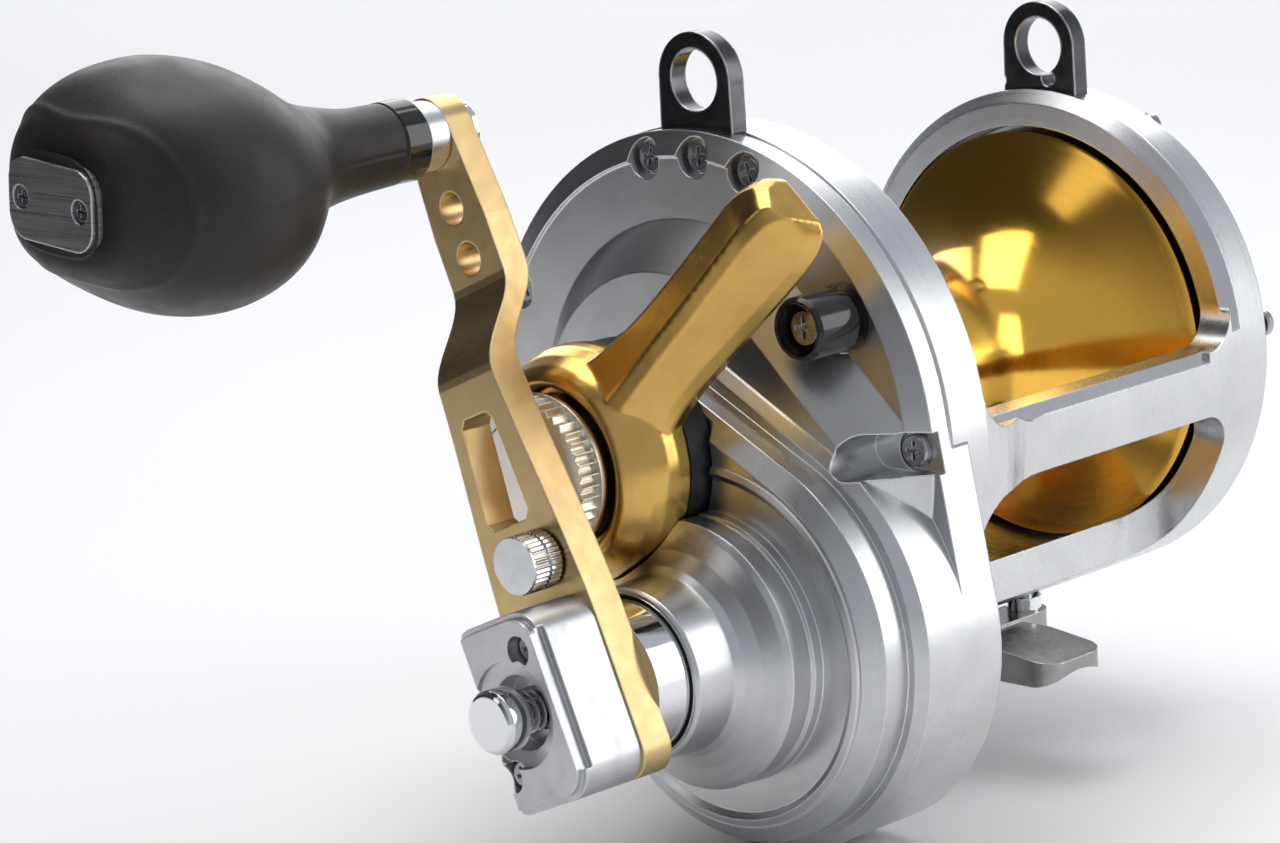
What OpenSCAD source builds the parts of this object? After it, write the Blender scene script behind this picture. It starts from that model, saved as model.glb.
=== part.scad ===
// Two-speed lever-drag trolling reel, in millimetres.
// +X runs along the spool axis towards the handle, +Y towards the rod tip, +Z up.
// The origin is on the crest of the foot's saddle, where the reel sits on the rod.

/* [Frame] */
// Height of the spool axis above the rod saddle
axis_h = 41.6; // [41:0.2:44]
// Clear width between the two frame rings
opening_w = 64; // [60:1:70]
// Outer radius of the left ring and of the crossbars
left_r = 38; // [37:0.5:40]
// Outer radius of the ring on the handle side
right_r = 43.6; // [42.5:0.2:45]
// Axial width of the left ring
left_w = 8.8; // [7:0.2:10]
// Axial width of the right ring
right_w = 7.8; // [7:0.2:9]
// Radius of the round chamber that the spool turns in
chamber_r = 32.6; // [32.4:0.1:33.2]

/* [Spool] */
// Radius of the spool's rims
spool_r = 31.8; // [30:0.1:32]
// Smallest radius of the spool's waist
waist_r = 12.6; // [11:0.1:14]

/* [Drive] */
// How far the drive shaft sits in front of the spool axis
drive_y = 16.5; // [16:0.1:17]
// How far the drive shaft sits below the spool axis
drive_drop = 26; // [25.6:0.1:26.6]
// Teeth of the high-speed main gear
high_main_n = 52; // [52:1:52]
// Teeth of the high-speed pinion
high_pinion_n = 10; // [10:1:10]
// Teeth of the low-speed main gear
low_main_n = 33; // [33:1:33]
// Teeth of the low-speed pinion
low_pinion_n = 15; // [15:1:15]
// Outer radius of the gear housing lobe
lobe_r = 31.7; // [31.2:0.1:33]

/* [Handle] */
// Distance from the drive shaft to the knob axle
crank_len = 79.4; // [70:0.1:90]
// Backward lean of the handle arm from upright, in degrees
crank_lean = 22.8; // [0:0.2:60]
// Half width of the arm at the drive shaft
arm_low_half = 9.5; // [8.5:0.1:10.5]
// Half width of the arm above its bend
arm_top_half = 5.7; // [5.4:0.1:7]
// Largest radius of the grip knob, across its flats
grip_r = 17.4; // [15:0.1:19]
// Largest half width of the grip knob, along its long side
grip_half_w = 21; // [18:0.1:24]

/* [Drag lever] */
// Lean of the lever from upright towards the rod tip, in degrees
lever_lean = 42; // [30:1:50]
// Radius from the spool axis to the lever's tip
lever_len = 51.5; // [44:0.5:54]

/* [Harness lugs] */
// Radius of the hole in each lug
lug_hole_r = 4.45; // [3.5:0.05:5]
// Height of the lug hole above its ring
lug_rise = 6.6; // [6:0.1:8]

/* [Foot] */
// Overall length of the foot along the rod
foot_len = 64; // [56:1:72]
// Width of the foot across the rod
foot_w = 13.5; // [12:0.5:16]
// Radius of the rod seat that the saddle fits
saddle_r = 14; // [12:0.5:18]

/* [Hidden] */
eps = 0.01;
fit = 0.05;

// Axial stations, measured from the middle of the frame opening
left_in = -opening_w / 2;
left_out = left_in - left_w;
right_in = opening_w / 2;
cover_x = right_in + right_w;
shelf_x = cover_x + 4.7;
dome_x = cover_x + 11.4;
lobe_x = cover_x + 13.2;
case_x = cover_x + 17.6;
band_x = cover_x + 20.4;
boss_x = cover_x + 37.2;
hub_x = cover_x + 23.2;
hub_face_x = cover_x + 34.4;
arm_low_x = boss_x + 6.1;
arm_low_t = 5.2;
arm_top_x = boss_x - 1.6;
arm_top_t = 4.6;
block_x = arm_low_x + arm_low_t;
block_t = 11.4;

// Gear pair geometry
drive_z = -drive_drop;
centre_d = sqrt(drive_y * drive_y + drive_z * drive_z);
toward_pinion = atan2(-drive_z, -drive_y);
high_m = 2 * centre_d / (high_main_n + high_pinion_n);
low_m = 2 * centre_d / (low_main_n + low_pinion_n);
low_gear_x = cover_x + 1.6;
high_gear_x = cover_x + 6.6;
gear_t = 3.6;
shaft_r = 2.5;
drive_r = 5;

drive = [drive_y, drive_z];

// Windows of the frame: heights of the front and rear bars' edges, and half depth of the base plate
bar_low = -8.2;
bar_high = 1.8;
rear_low = -15;
rear_high = -4;
plate_half = 20;
window_r = 6;
// Radius of the bearing plate that closes the frame on the handle side
plate_r = 37.8;

// Screw circles, and the foot's screws and the flat they stand on
front_screw_a = 88;
cover_screw_r = 39.7;
cover_screw_angles = [-64, -11.5, 2.5, 16.5, front_screw_a, 230, 264];
left_screw_r = 35.2;
left_screw_angles = [25, 85, 145, 205, 265, 325];
foot_hole_x = [-10, 10];
foot_hole_y = [-13.5, 13.5];
pad_drop = 35.2;

// Side cover: skirt below its rim, notches round its screws, direction of the raised wing
skirt = 3.4;
notch_floor = 2.2;
notch_r = 2.9;
wing_dir = [cos(-43), sin(-43)];
// Place of the strike button on the cover
strike_r = 34.7;
strike_a = 56.4;

// Half width of the spool over its rims
spool_out = opening_w / 2 + 2.6;

// Ratchet wheel and its pawl
ratchet_n = 12;
ratchet_x = high_gear_x + gear_t + 0.5;
pawl_pos = [10, 15.5];

// Handle arm: where it steps down and narrows, its rounded tip and its foot
bend_low = 45;
bend_high = 58;
narrow_low = 6;
narrow_high = 52;
arm_tip_r = 4.6;
arm_tip_v = 80;
bend_steps = 12;
arm_foot = 13.4;

// Clutch block and the two controls beside it
block_half = 9.2;
block_rear = 8.4;
block_v0 = -13.3;
block_v1 = 13;
block_screw = [[5, 7.8], [-4.6, -7.8]];
button_face = block_x + block_t + 4.7;
release_u = 3.3;
release_v = 18.8;

// Grip knob and its end plate
knob_x = arm_top_x + arm_top_t;
grip_x = knob_x + 8.8;
grip_len = 56;
grip_turn = -28;
grip_sides = 36;
plate_rise = 1;
plate_half_w = 8.4;
plate_half_h = 5.4;

silver = [0.78, 0.79, 0.8];
chrome = [0.9, 0.9, 0.92];
gold = [0.83, 0.66, 0.32];
champagne = [0.8, 0.66, 0.4];
dark = [0.08, 0.08, 0.09];
steel = [0.62, 0.63, 0.65];

// Lifts a shape from the spool axis to its height above the rod
module at_axis() { translate([0, 0, axis_h]) children(); }

// Moves a shape from the spool axis to the drive shaft's axis
module at_drive() { translate([0, drive_y, drive_z]) children(); }

// Extrudes a (y, z) outline along X
module along_x(x0, x1) {
    translate([x0, 0, 0]) rotate([90, 0, 90]) linear_extrude(x1 - x0) children();
}

// Turns a closed (radius, x) outline about the X axis
module lathe(points) { rotate([0, 90, 0]) rotate_extrude($fn = 120) polygon(points); }

// Plain ring or disc about the X axis
module ring(x0, x1, outer, inner = 0) {
    lathe([[inner, x0], [outer, x0], [outer, x1], [inner, x1]]);
}

// Ring with small chamfers on both outer edges
module soft_ring(x0, x1, outer, inner, c) {
    lathe([[inner, x0], [outer - c, x0], [outer, x0 + c], [outer, x1 - c], [outer - c, x1], [inner, x1]]);
}

// Rectangle with round corners between two opposite points
module round_rect(low, high, r) {
    translate([low[0] + r, low[1]]) square([high[0] - low[0] - 2 * r, high[1] - low[1]]);
    translate([low[0], low[1] + r]) square([high[0] - low[0], high[1] - low[1] - 2 * r]);
    for (x = [low[0] + r, high[0] - r]) {
        for (y = [low[1] + r, high[1] - r]) translate([x, y]) circle(r, $fn = 48);
    }
}

// Points beside the two outer tangents of a pair of circles, a hair inside them so that they cross
function tangent_ring(c, ra, rb, x) =
    let (d = norm(c), e = c / d, n = [-e[1], e[0]], k = (ra - rb) / d, s = sqrt(1 - k * k))
    [for (p = [[0, ra, 1], [1, rb, 1], [1, rb, -1], [0, ra, -1]])
        let (q = (p[0] * c) + 0.998 * p[1] * (k * e + p[2] * s * n)) [x, q[0], q[1]]];

// Egg-shaped slab around the spool axis and a second centre; each step is (x, how far the wall is drawn in)
module egg(c, ra, rb, steps) {
    n = len(steps);
    module round_end(r) {
        lathe([[0, steps[0][0]], for (s = steps) [r - s[1], s[0]], [0, steps[n - 1][0]]]);
    }
    round_end(ra);
    translate([0, c[0], c[1]]) round_end(rb);
    polyhedron(
        points = [for (s = steps) each tangent_ring(c, ra - s[1], rb - s[1], s[0])],
        faces = concat(
            [[3, 2, 1, 0], [for (i = [0:3]) 4 * n - 4 + i]],
            [for (j = [0:n - 2]) for (i = [0:3])
                [4 * j + i, 4 * j + (i + 1) % 4, 4 * j + 4 + (i + 1) % 4, 4 * j + 4 + i]]
        )
    );
}

// Spur gear outline with straight flanks and a little backlash
module gear_outline(n, m, phase) {
    rp = n * m / 2;
    function at(r, half, turn) = let (a = phase + turn + half / r * 57.2958) [r * cos(a), r * sin(a)];
    polygon([for (i = [0:n - 1]) each
        let (t = i * 360 / n, root = rp - 0.95 * m, tip = rp + 0.72 * m)
        [at(root, -1.0 * m, t), at(tip, -0.4 * m, t), at(tip, 0.4 * m, t), at(root, 1.0 * m, t)]]);
}

// Cross-head screw along X: the head's face is at the origin, its shank runs towards -X
module screw_x(head_r, head_t, shank_r, shank_l) {
    difference() {
        union() {
            soft_ring(-head_t, 0, head_r, 0, 0.25);
            ring(-head_t - shank_l, -head_t + eps, shank_r);
        }
        for (a = [0, 90]) rotate([a, 0, 0]) {
            translate([-head_t * 0.6, -head_r * 0.6, -head_r * 0.14])
                cube([head_t, head_r * 1.2, head_r * 0.28]);
        }
    }
}

// Position on a circle about the spool axis, measured forwards from the top
module clock(r, a) { translate([0, r * sin(a), r * cos(a)]) children(); }

// ---------- frame and fixed parts ----------

// Outline of the turned barrel that the frame is cut from
barrel = [
    [chamber_r, left_out], [left_r - 0.8, left_out], [left_r, left_out + 0.8], [left_r, right_in - 19],
    each [for (i = [1:7]) let (t = i / 7) [
        left_r + (right_r - left_r) * (1 - cos(180 * t)) / 2,
        right_in - 19 + 19 * t
    ]],
    [right_r, cover_x - 0.4], [right_r - 0.4, cover_x], [plate_r + fit, cover_x], [plate_r + fit, cover_x - 3],
    [chamber_r, cover_x - 3]
];

// Opening in the frame between two heights, in front of or behind the axis
module window(low, high, side, y_min) {
    intersection() {
        translate([0, side > 0 ? 60 : 0, 0]) rotate([90, 0, 0]) linear_extrude(60)
            round_rect([left_in, low], [right_in, high], window_r);
        translate([0, 0, -60]) linear_extrude(140)
            round_rect([left_in, side > 0 ? y_min : -80], [right_in, side > 0 ? 80 : -y_min], window_r);
    }
}

// Bevel along a straight bar edge at height z on one side of the frame
module bar_bevel(z, side) {
    translate([0, side * (left_r + 0.3), z]) rotate([45, 0, 0])
        translate([left_in + window_r, -1.3, -1.3]) cube([opening_w - 2 * window_r, 2.6, 2.6]);
}

module frame() {
    color(silver) at_axis() difference() {
        lathe(barrel);
        window(bar_high, 80, 1, -10);
        window(rear_high, 80, -1, -10);
        window(-60, bar_low, 1, plate_half);
        window(-60, rear_low, -1, plate_half);
        // bevels on the inner edges of both rings above the bars
        intersection() {
            lathe([[left_r + 1, left_in - 1.9 - 1], [left_r + 1, left_in + eps], [left_r - 1.9, left_in + eps]]);
            translate([-60, -60, 4]) cube([120, 120, 60]);
        }
        for (side = [-1, 1]) bar_bevel(side > 0 ? bar_high : rear_high, side);
        // slots for the two harness lugs
        translate([left_in - 5.9, -7.05, chamber_r + 1.6]) cube([3.1, 14.1, 20]);
        translate([cover_x - 1.25, -7.05, 38]) cube([5, 14.1, 20]);
        // seats for the cover screws and the left plate's screws
        for (a = cover_screw_angles) clock(cover_screw_r, a) ring(cover_x - 5, cover_x + 1, 1.25);
        for (a = left_screw_angles) clock(left_screw_r, a) ring(left_out - 1, left_out + 5, 1.25);
        // holes for the foot's screws
        for (x = foot_hole_x) for (y = foot_hole_y) translate([x, y, -left_r - 1]) cylinder(12, r = 1.6, $fn = 32);
        // flat underside that the foot's spacers stand on
        translate([left_in + 5, -30, -left_r - 5]) cube([opening_w - 18, 60, left_r + 5 - pad_drop]);
    }
}

module left_plate() {
    color(silver) at_axis() difference() {
        lathe([
            [0, left_out - 6.4], [16, left_out - 6.2], [24, left_out - 5.6], [30, left_out - 4.4],
            [34, left_out - 2.8], [36.6, left_out - 1], [37, left_out],
            [chamber_r - fit, left_out], [chamber_r - fit, left_out + 3], [29, left_out + 3], [27, left_out - 1.4],
            [9, left_out - 2.4], [9, left_out + 4.2], [6.5, left_out + 4.2], [6.5, left_out - 0.4], [0, left_out - 0.4]
        ]);
        // pocket for the clicker button's slide
        translate([left_out - 8, -3, -22]) cube([12, 6, 12]);
        ring(left_out - 3.5, left_out + 1, shaft_r + fit);
        for (a = left_screw_angles) clock(left_screw_r, a) {
            ring(left_out - 8, left_out + 1, 1.25);
            ring(left_out - 8, left_out - 1.4, 2.3);
        }
    }
}

module left_screws() {
    color(steel) at_axis() for (a = left_screw_angles) clock(left_screw_r, a) {
        translate([left_out - 2.6, 0, 0]) rotate([0, 0, 180]) screw_x(2.1, 1.2, 1.1, 5);
    }
}

module bearing_plate() {
    color(silver) at_axis() difference() {
        ring(cover_x - 3, cover_x, plate_r);
        ring(cover_x - 4, cover_x + 1, 5.5);
        at_drive() ring(cover_x - 4, cover_x + 1, 5.5);
    }
}

// Outer form of the cover: rim, raised wing, lobe and boss
module cover_body() {
    lathe([
        [0, cover_x], [right_r - 0.7, cover_x], [right_r - 0.3, cover_x + 0.4], [right_r - 0.3, cover_x + 3.4],
        [right_r - 3.8, shelf_x + 0.5], [right_r - 4.1, shelf_x], [0, shelf_x]
    ]);
    intersection() {
        egg(36 * wing_dir, 30.7, 30.7, [[cover_x + 2, -2.6], [dome_x, 6.5]]);
        lathe([
            [0, cover_x + 1], [right_r - 0.5, cover_x + 1], [right_r - 0.5, cover_x + 3.6],
            [right_r - 8.3, dome_x + 1], [0, dome_x + 1]
        ]);
    }
    // skirt that runs from the ring round the lobe, and the lobe's two steps
    egg(drive, right_r - 0.3, lobe_r, [[cover_x - skirt, 0], [cover_x + 3.4, 0]]);
    egg(drive, 16.5, lobe_r, [[cover_x - skirt, 0], [lobe_x - 1.5, 0], [lobe_x, 1.5]]);
    egg(drive, 13.2, 29, [[lobe_x - 2, 0], [case_x, 0], [band_x - 0.6, 2.6]]);
    // stepped and flared boss around the drive shaft
    at_drive() lathe([
        [0, band_x - 3], [25.6, band_x - 3], [25.9, band_x - 0.3], [25, band_x], [23.6, band_x - 0.9],
        [21.6, band_x - 1.5], [20, band_x - 1.3], [19.4, band_x - 0.6], [19.4, band_x + 1], [18.9, band_x + 1.3],
        [18.9, band_x + 1.8], [19.2, band_x + 2.1], [19.2, band_x + 5.2], [18.4, band_x + 5.9],
        [15.6, band_x + 7.4], [13.6, band_x + 8.9], [12.7, band_x + 10], [12.3, boss_x - 0.5],
        [11.9, boss_x], [0, boss_x]
    ]);
}

module side_cover() {
    color(silver) at_axis() difference() {
        union() {
            difference() {
                cover_body();
                // room for the lever's hub and liner to swing
                ring(case_x + 0.7, hub_face_x, 16.9);
            }
            // neck under the lever's hub
            ring(case_x, hub_x - 0.4, 12.4);
        }
        // the lobe's skirt stands clear of the frame ring
        ring(cover_x - 4, cover_x, right_r + 0.03);
        // hollow for the gears and for the drag's push plate
        ring(cover_x - 1, shelf_x - 2.5, 34);
        egg(drive, 11.6, 27.4, [[cover_x - 0.4, 0], [case_x - 2, 0]]);
        // boss bore, bearing seat and mouth
        at_drive() {
            ring(case_x - 3, boss_x - 1.6, 5.6);
            ring(band_x + 9, band_x + 14, 8);
            ring(boss_x - 1.6, boss_x + 1, 11.4);
        }
        // bore for the cam and the spool shaft
        ring(case_x - 3, hub_x + 1, 7);
        ring(cover_x, hub_x + 1, 5.2);
        // lug slot in the rim
        translate([cover_x - 1, -7.05, 38]) cube([2.75, 14.1, 20]);
        // screw scallops through the bevel
        for (a = cover_screw_angles) clock(cover_screw_r, a) {
            ring(cover_x - 1, shelf_x + 2, 1.25);
            ring(cover_x + notch_floor, dome_x + 2, notch_r);
        }
        // U-shaped notch with a squared outer end at the front screw
        clock(cover_screw_r, front_screw_a)
            translate([cover_x + notch_floor, 0, -notch_r]) cube([12, 6, 2 * notch_r]);
        clock(cover_screw_r - 4.5, front_screw_a) {
            ring(cover_x + 3, dome_x + 2, notch_r);
            translate([cover_x + 3, 0, -notch_r]) cube([12, 5, 2 * notch_r]);
        }
        // well that the strike button slides in
        clock(strike_r, strike_a) ring(cover_x + 3.4, dome_x + 2, 4.85);
    }
}

module cover_screws() {
    color(chrome) at_axis() for (a = cover_screw_angles) clock(cover_screw_r, a) {
        translate([cover_x + notch_floor + 1.2, 0, 0]) rotate([a, 0, 0]) screw_x(2.3, 1.2, 1.15, 6);
    }
}

// Harness lug: a flat tapered ear whose base sits in its ring
module lug(x0, ring_r, base_r) {
    translate([x0, 0, 0]) difference() {
        along_x(0, 3) {
            translate([0, ring_r + lug_rise]) circle(6.9, $fn = 64);
            polygon([[-7, base_r], [7, base_r], [7, ring_r + 0.5], [6.88, ring_r + lug_rise],
                [-6.88, ring_r + lug_rise], [-7, ring_r + 0.5]]);
        }
        translate([0, 0, ring_r + lug_rise]) ring(-1, 4, lug_hole_r);
        // the rim's screws run through the base
        for (a = cover_screw_angles) clock(cover_screw_r, a) ring(-1, 4, 1.25);
    }
}

module left_lug() { color(chrome) at_axis() lug(left_in - 5.85, left_r, chamber_r + 1.7); }

module right_lug() { color(chrome) at_axis() lug(cover_x - 1.25, right_r, 38.1); }

module reel_foot() {
    color(steel) difference() {
        union() {
            // long tongue, thinner towards both ends
            intersection() {
                translate([-foot_w / 2, 0, 0]) rotate([90, 0, 90]) linear_extrude(foot_w) polygon([
                    [-foot_len / 2, -3], [foot_len / 2, -3], [foot_len / 2, 1.9], [18, 3.7], [12, 4.3],
                    [-12, 4.3], [-18, 3.7], [-foot_len / 2, 1.9]
                ]);
                translate([0, 0, -3]) linear_extrude(12)
                    round_rect([-foot_w / 2, -foot_len / 2], [foot_w / 2, foot_len / 2], 3.5);
                translate([0, 0, -14.5]) rotate([90, 0, 0]) translate([0, 0, -foot_len])
                    cylinder(2 * foot_len, r = 19, $fn = 120);
            }
            // four ears for the screws
            for (y = foot_hole_y) translate([0, y, 1.2]) linear_extrude(3.1) {
                translate([-10, -3.4]) square([20, 6.8]);
                for (x = foot_hole_x) translate([x, 0]) circle(3.4, $fn = 48);
            }
        }
        // saddle that follows the rod
        translate([0, foot_len, -saddle_r]) rotate([90, 0, 0]) cylinder(2 * foot_len, r = saddle_r, $fn = 120);
        for (x = foot_hole_x) for (y = foot_hole_y) translate([x, y, -5]) cylinder(12, r = 1.6, $fn = 32);
    }
}

module foot_spacers() {
    color(chrome) for (x = foot_hole_x) for (y = foot_hole_y) translate([x, y, 4.3]) difference() {
        cylinder(axis_h - pad_drop - 4.3, r = 2.7, $fn = 48);
        translate([0, 0, -1]) cylinder(12, r = 1.6, $fn = 32);
    }
}

module foot_screws() {
    color(steel) for (x = foot_hole_x) for (y = foot_hole_y) translate([x, y, 0]) difference() {
        union() {
            translate([0, 0, -0.9]) cylinder(2.1, r = 2.7, $fn = 48);
            cylinder(axis_h - pad_drop + 2.6, r = 1.5, $fn = 32);
        }
        translate([0, 0, -1]) cylinder(1.2, r = 1.3, $fn = 6);
    }
}

module boss_seal() { color(dark) at_axis() at_drive() ring(boss_x - 1.6, boss_x - 0.2, 11.35, 11.08); }

// Plain ball-bearing stand-in: inner race, outer race and a shield between them
module bearing(x0, x1, outer, inner) {
    lathe([
        [inner, x0], [inner + 0.8, x0], [inner + 0.8, x0 + 0.3], [outer - 0.8, x0 + 0.3], [outer - 0.8, x0],
        [outer, x0], [outer, x1], [outer - 0.8, x1], [outer - 0.8, x1 - 0.3], [inner + 0.8, x1 - 0.3],
        [inner + 0.8, x1], [inner, x1]
    ]);
}

module drive_bearings() {
    color(steel) at_axis() at_drive() {
        bearing(cover_x - 3, cover_x, 5.5, 3.05);
        bearing(band_x + 9, band_x + 12, 8, drive_r + fit);
    }
}

module shaft_bearings() {
    color(steel) at_axis() {
        bearing(left_out, left_out + 3, 6.5, shaft_r + fit);
        bearing(cover_x - 3, cover_x, 5.5, 3.3 + fit);
    }
}

module spool_shaft() {
    color(steel) at_axis() ring(left_out - 3.2, hub_face_x + 4.2, shaft_r);
}

// Fixed and moving cams push the spool towards its drag plate as the lever turns
module fixed_cam() {
    color(steel) at_axis() ring(case_x - 3, case_x + 2.4, 6.95, shaft_r + fit);
}

module moving_cam() {
    color(steel) at_axis() ring(case_x + 2.7, hub_x + 4, 6.7, shaft_r + fit);
}

// Stack of cone washers between the fixed cam and the pinion
module drag_spring() {
    color(steel) at_axis() translate([case_x - 6.2, 0, 0]) lathe([
        [shaft_r + fit, 0], [4.8, 0], [4.8, 0.8], [3.4, 0.8], [3.4, 1.2], [4.8, 1.2],
        [4.8, 2], [3.4, 2], [3.4, 2.4], [4.8, 2.4], [4.8, 3.2], [shaft_r + fit, 3.2]
    ]);
}

module strike_button() {
    color(dark) at_axis() clock(strike_r, strike_a) difference() {
        lathe([
            [0, cover_x + 5.9], [4.1, cover_x + 5.9], [4.55, cover_x + 6.3], [4.55, cover_x + 13.6],
            [4.1, cover_x + 14.2], [3.7, cover_x + 14.2], [3.3, cover_x + 13], [3.3, cover_x + 11.4],
            [0, cover_x + 11.4]
        ]);
        ring(cover_x + 5, cover_x + 12, 1.3);
    }
}

module strike_button_screw() {
    color(chrome) at_axis() clock(strike_r, strike_a) {
        translate([cover_x + 12.7, 0, 0]) screw_x(2.6, 1.3, 1.25, 5.6);
    }
}

module clicker_button() {
    color(dark) at_axis() translate([left_out, 0, -16]) {
        translate([-8.6, -4.2, -3]) cube([1.9, 8.4, 6]);
        translate([-6.8, -2.6, -2.6]) cube([7.8, 5.2, 5.2]);
    }
}

module clicker_tongue() {
    color(steel) at_axis() translate([left_out + 1, -1.2, -18.4]) cube([8.6, 2.4, 7.2]);
}

// Toothed wheel and pawl that stop the handle from turning backwards
module ratchet_wheel() {
    color(steel) at_axis() at_drive() difference() {
        along_x(ratchet_x, ratchet_x + 2.4) {
            polygon([for (i = [0:ratchet_n - 1]) each let (t = i * 360 / ratchet_n)
                [[9 * cos(t), 9 * sin(t)], [11.4 * cos(t + 1), 11.4 * sin(t + 1)],
                    [10 * cos(t + 15), 10 * sin(t + 15)]]]);
        }
        ring(ratchet_x - 1, ratchet_x + 4, drive_r);
    }
}

module anti_reverse_pawl() {
    color(steel) at_axis() at_drive() difference() {
        along_x(ratchet_x + 0.3, ratchet_x + 2.1) {
            translate(pawl_pos) circle(2.4, $fn = 48);
            polygon([
                pawl_pos + [0.4, 2.2], pawl_pos + [-0.9, -2], [0.3, 11.9], [-1.4, 12.1], [-1.2, 14]
            ]);
        }
        translate([0, pawl_pos[0], pawl_pos[1]]) ring(ratchet_x - 1, ratchet_x + 4, 1.05);
    }
}

module pawl_pin() {
    color(steel) at_axis() at_drive() translate([0, pawl_pos[0], pawl_pos[1]]) ring(ratchet_x - 0.2, case_x - 2, 1);
}

// ---------- spool ----------

// Half outline of the spool's deep waist, from the middle to the rim
function flare(t) = waist_r + 0.4 + (spool_r - 1.6 - waist_r) * pow(t, 2.6);

module spool() {
    half = opening_w / 2;
    out = spool_out;
    color(gold) at_axis() difference() {
        lathe([
            [0, -out], [spool_r - 0.4, -out], [spool_r, -out + 0.4], [spool_r, -half + 0.9],
            [spool_r - 0.5, -half + 1.3],
            each [for (i = [0:12]) let (t = 1 - i / 12) [flare(t), -7 - (half - 8.6) * t]],
            each [for (i = [0:12]) let (t = i / 12) [flare(t), 7 + (half - 8.6) * t]],
            [spool_r - 0.5, half - 1.3], [spool_r, half - 0.9], [spool_r, out - 0.4], [spool_r - 0.4, out], [0, out]
        ]);
        // room for the clicker wheel and for the drag
        lathe([[0, -out - 1], [27, -out - 1], [27, -out + 1], [21, -out + 3.5], [12, -out + 5], [0, -out + 5]]);
        lathe([[0, out + 1], [28, out + 1], [28, out - 3.4], [11, out - 3.4], [11, out - 6.4], [0, out - 6.4]]);
        // bearing seats and the bore around the shaft
        ring(-out, out, shaft_r + 0.5);
        ring(-out, -out + 8.4, 6.5);
        ring(out - 9.4, out, 6.5);
    }
}

module spool_bearings() {
    out = spool_out;
    color(steel) at_axis() {
        bearing(-out + 5.4, -out + 8.4, 6.5, shaft_r + fit);
        bearing(out - 9.4, out - 6.4, 6.5, shaft_r + fit);
    }
}

module drag_washer() {
    out = spool_out;
    color(dark) at_axis() ring(out - 3.4, out - 2.6, 27.6, 11.2);
}

module drag_disc() {
    out = spool_out;
    color(steel) at_axis() lathe([
        [3.3, out - 2.6], [27.2, out - 2.6], [27.2, out - 1.4], [12, out - 1.4], [9, out - 0.4], [3.3, out - 0.4]
    ]);
}

module clicker_gear() {
    color(steel) at_axis() difference() {
        along_x(left_in, left_in + 2.4) gear_outline(24, 0.75, 90);
        ring(left_in - 1, left_in + 3, 6.6);
    }
}

module high_pinion() {
    color(steel) at_axis() difference() {
        union() {
            along_x(high_gear_x - 0.2, high_gear_x + gear_t + 0.2)
                gear_outline(high_pinion_n, high_m, toward_pinion + 180 + 180 / high_pinion_n);
            ring(right_in, high_gear_x, 3.3);
        }
        ring(right_in - 1, high_gear_x + gear_t + 2, shaft_r + fit);
    }
}

module low_pinion() {
    color(steel) at_axis() difference() {
        along_x(low_gear_x - 0.2, low_gear_x + gear_t + 0.2)
            gear_outline(low_pinion_n, low_m, toward_pinion + 180 + 180 / low_pinion_n);
        ring(low_gear_x - 2, low_gear_x + gear_t + 2, 3.3);
    }
}

// ---------- crank ----------

module main_gear(x0, n, m, hub_bore) {
    difference() {
        along_x(x0, x0 + gear_t) gear_outline(n, m, toward_pinion);
        ring(x0 - 1, x0 + gear_t + 1, hub_bore);
        // six lightening holes
        for (a = [30:60:330]) rotate([a, 0, 0]) translate([0, 0, n * m * 0.31])
            ring(x0 - 1, x0 + gear_t + 1, n * m * 0.09);
    }
}

module high_main_gear() {
    color([0.8, 0.7, 0.42]) at_axis() at_drive() main_gear(high_gear_x, high_main_n, high_m, drive_r);
}

module low_main_gear() {
    color([0.8, 0.7, 0.42]) at_axis() at_drive() main_gear(low_gear_x, low_main_n, low_m, drive_r + fit);
}

module drive_shaft() {
    color(steel) at_axis() at_drive() difference() {
        union() {
            ring(cover_x - 2.8, cover_x + 1, 3);
            ring(cover_x + 0.6, block_x - 0.4, drive_r);
        }
        ring(high_gear_x, block_x + 1, 2.2);
    }
}

module shaft_collar() {
    color(chrome) at_axis() at_drive() ring(boss_x - 1.5, arm_low_x, 11, drive_r);
}

// Arm coordinates: u runs across the arm, v along it from the drive shaft to the knob
module on_arm(x0, x1) {
    at_drive() rotate([crank_lean, 0, 0]) along_x(x0, x1) children();
}

module at_arm(u, v) { at_drive() rotate([crank_lean, 0, 0]) translate([0, u, v]) children(); }

// Smooth step from 0 to 1
function ease(t) = t * t * (3 - 2 * t);

module arm_outline() {
    difference() {
        union() {
            polygon(concat(
                [[-arm_low_half, -arm_foot + 4], [arm_low_half, -arm_foot + 4]],
                [for (i = [0:bend_steps]) let (t = i / bend_steps)
                    [arm_low_half + (arm_top_half - arm_low_half) * ease(t),
                        narrow_low + (narrow_high - narrow_low) * t]],
                [[arm_top_half, 66], [arm_tip_r, arm_tip_v], [-arm_tip_r, arm_tip_v], [-arm_top_half, 66]],
                [for (i = [bend_steps:-1:0]) let (t = i / bend_steps)
                    [-arm_low_half - (arm_top_half - arm_low_half) * ease(t),
                        narrow_low + (narrow_high - narrow_low) * t]]
            ));
            round_rect([-arm_low_half, -arm_foot], [arm_low_half, -arm_foot + 12], 4);
            translate([0, arm_tip_v]) circle(arm_tip_r, $fn = 64);
        }
        // tapered window
        polygon([
            [-5.6, 25.8], [-4.6, 24.6], [2.4, 24.6], [3.5, 25.8], [2.8, 38.9], [1.8, 40.2], [-2.9, 40.2], [-4, 39]
        ]);
    }
}

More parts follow.
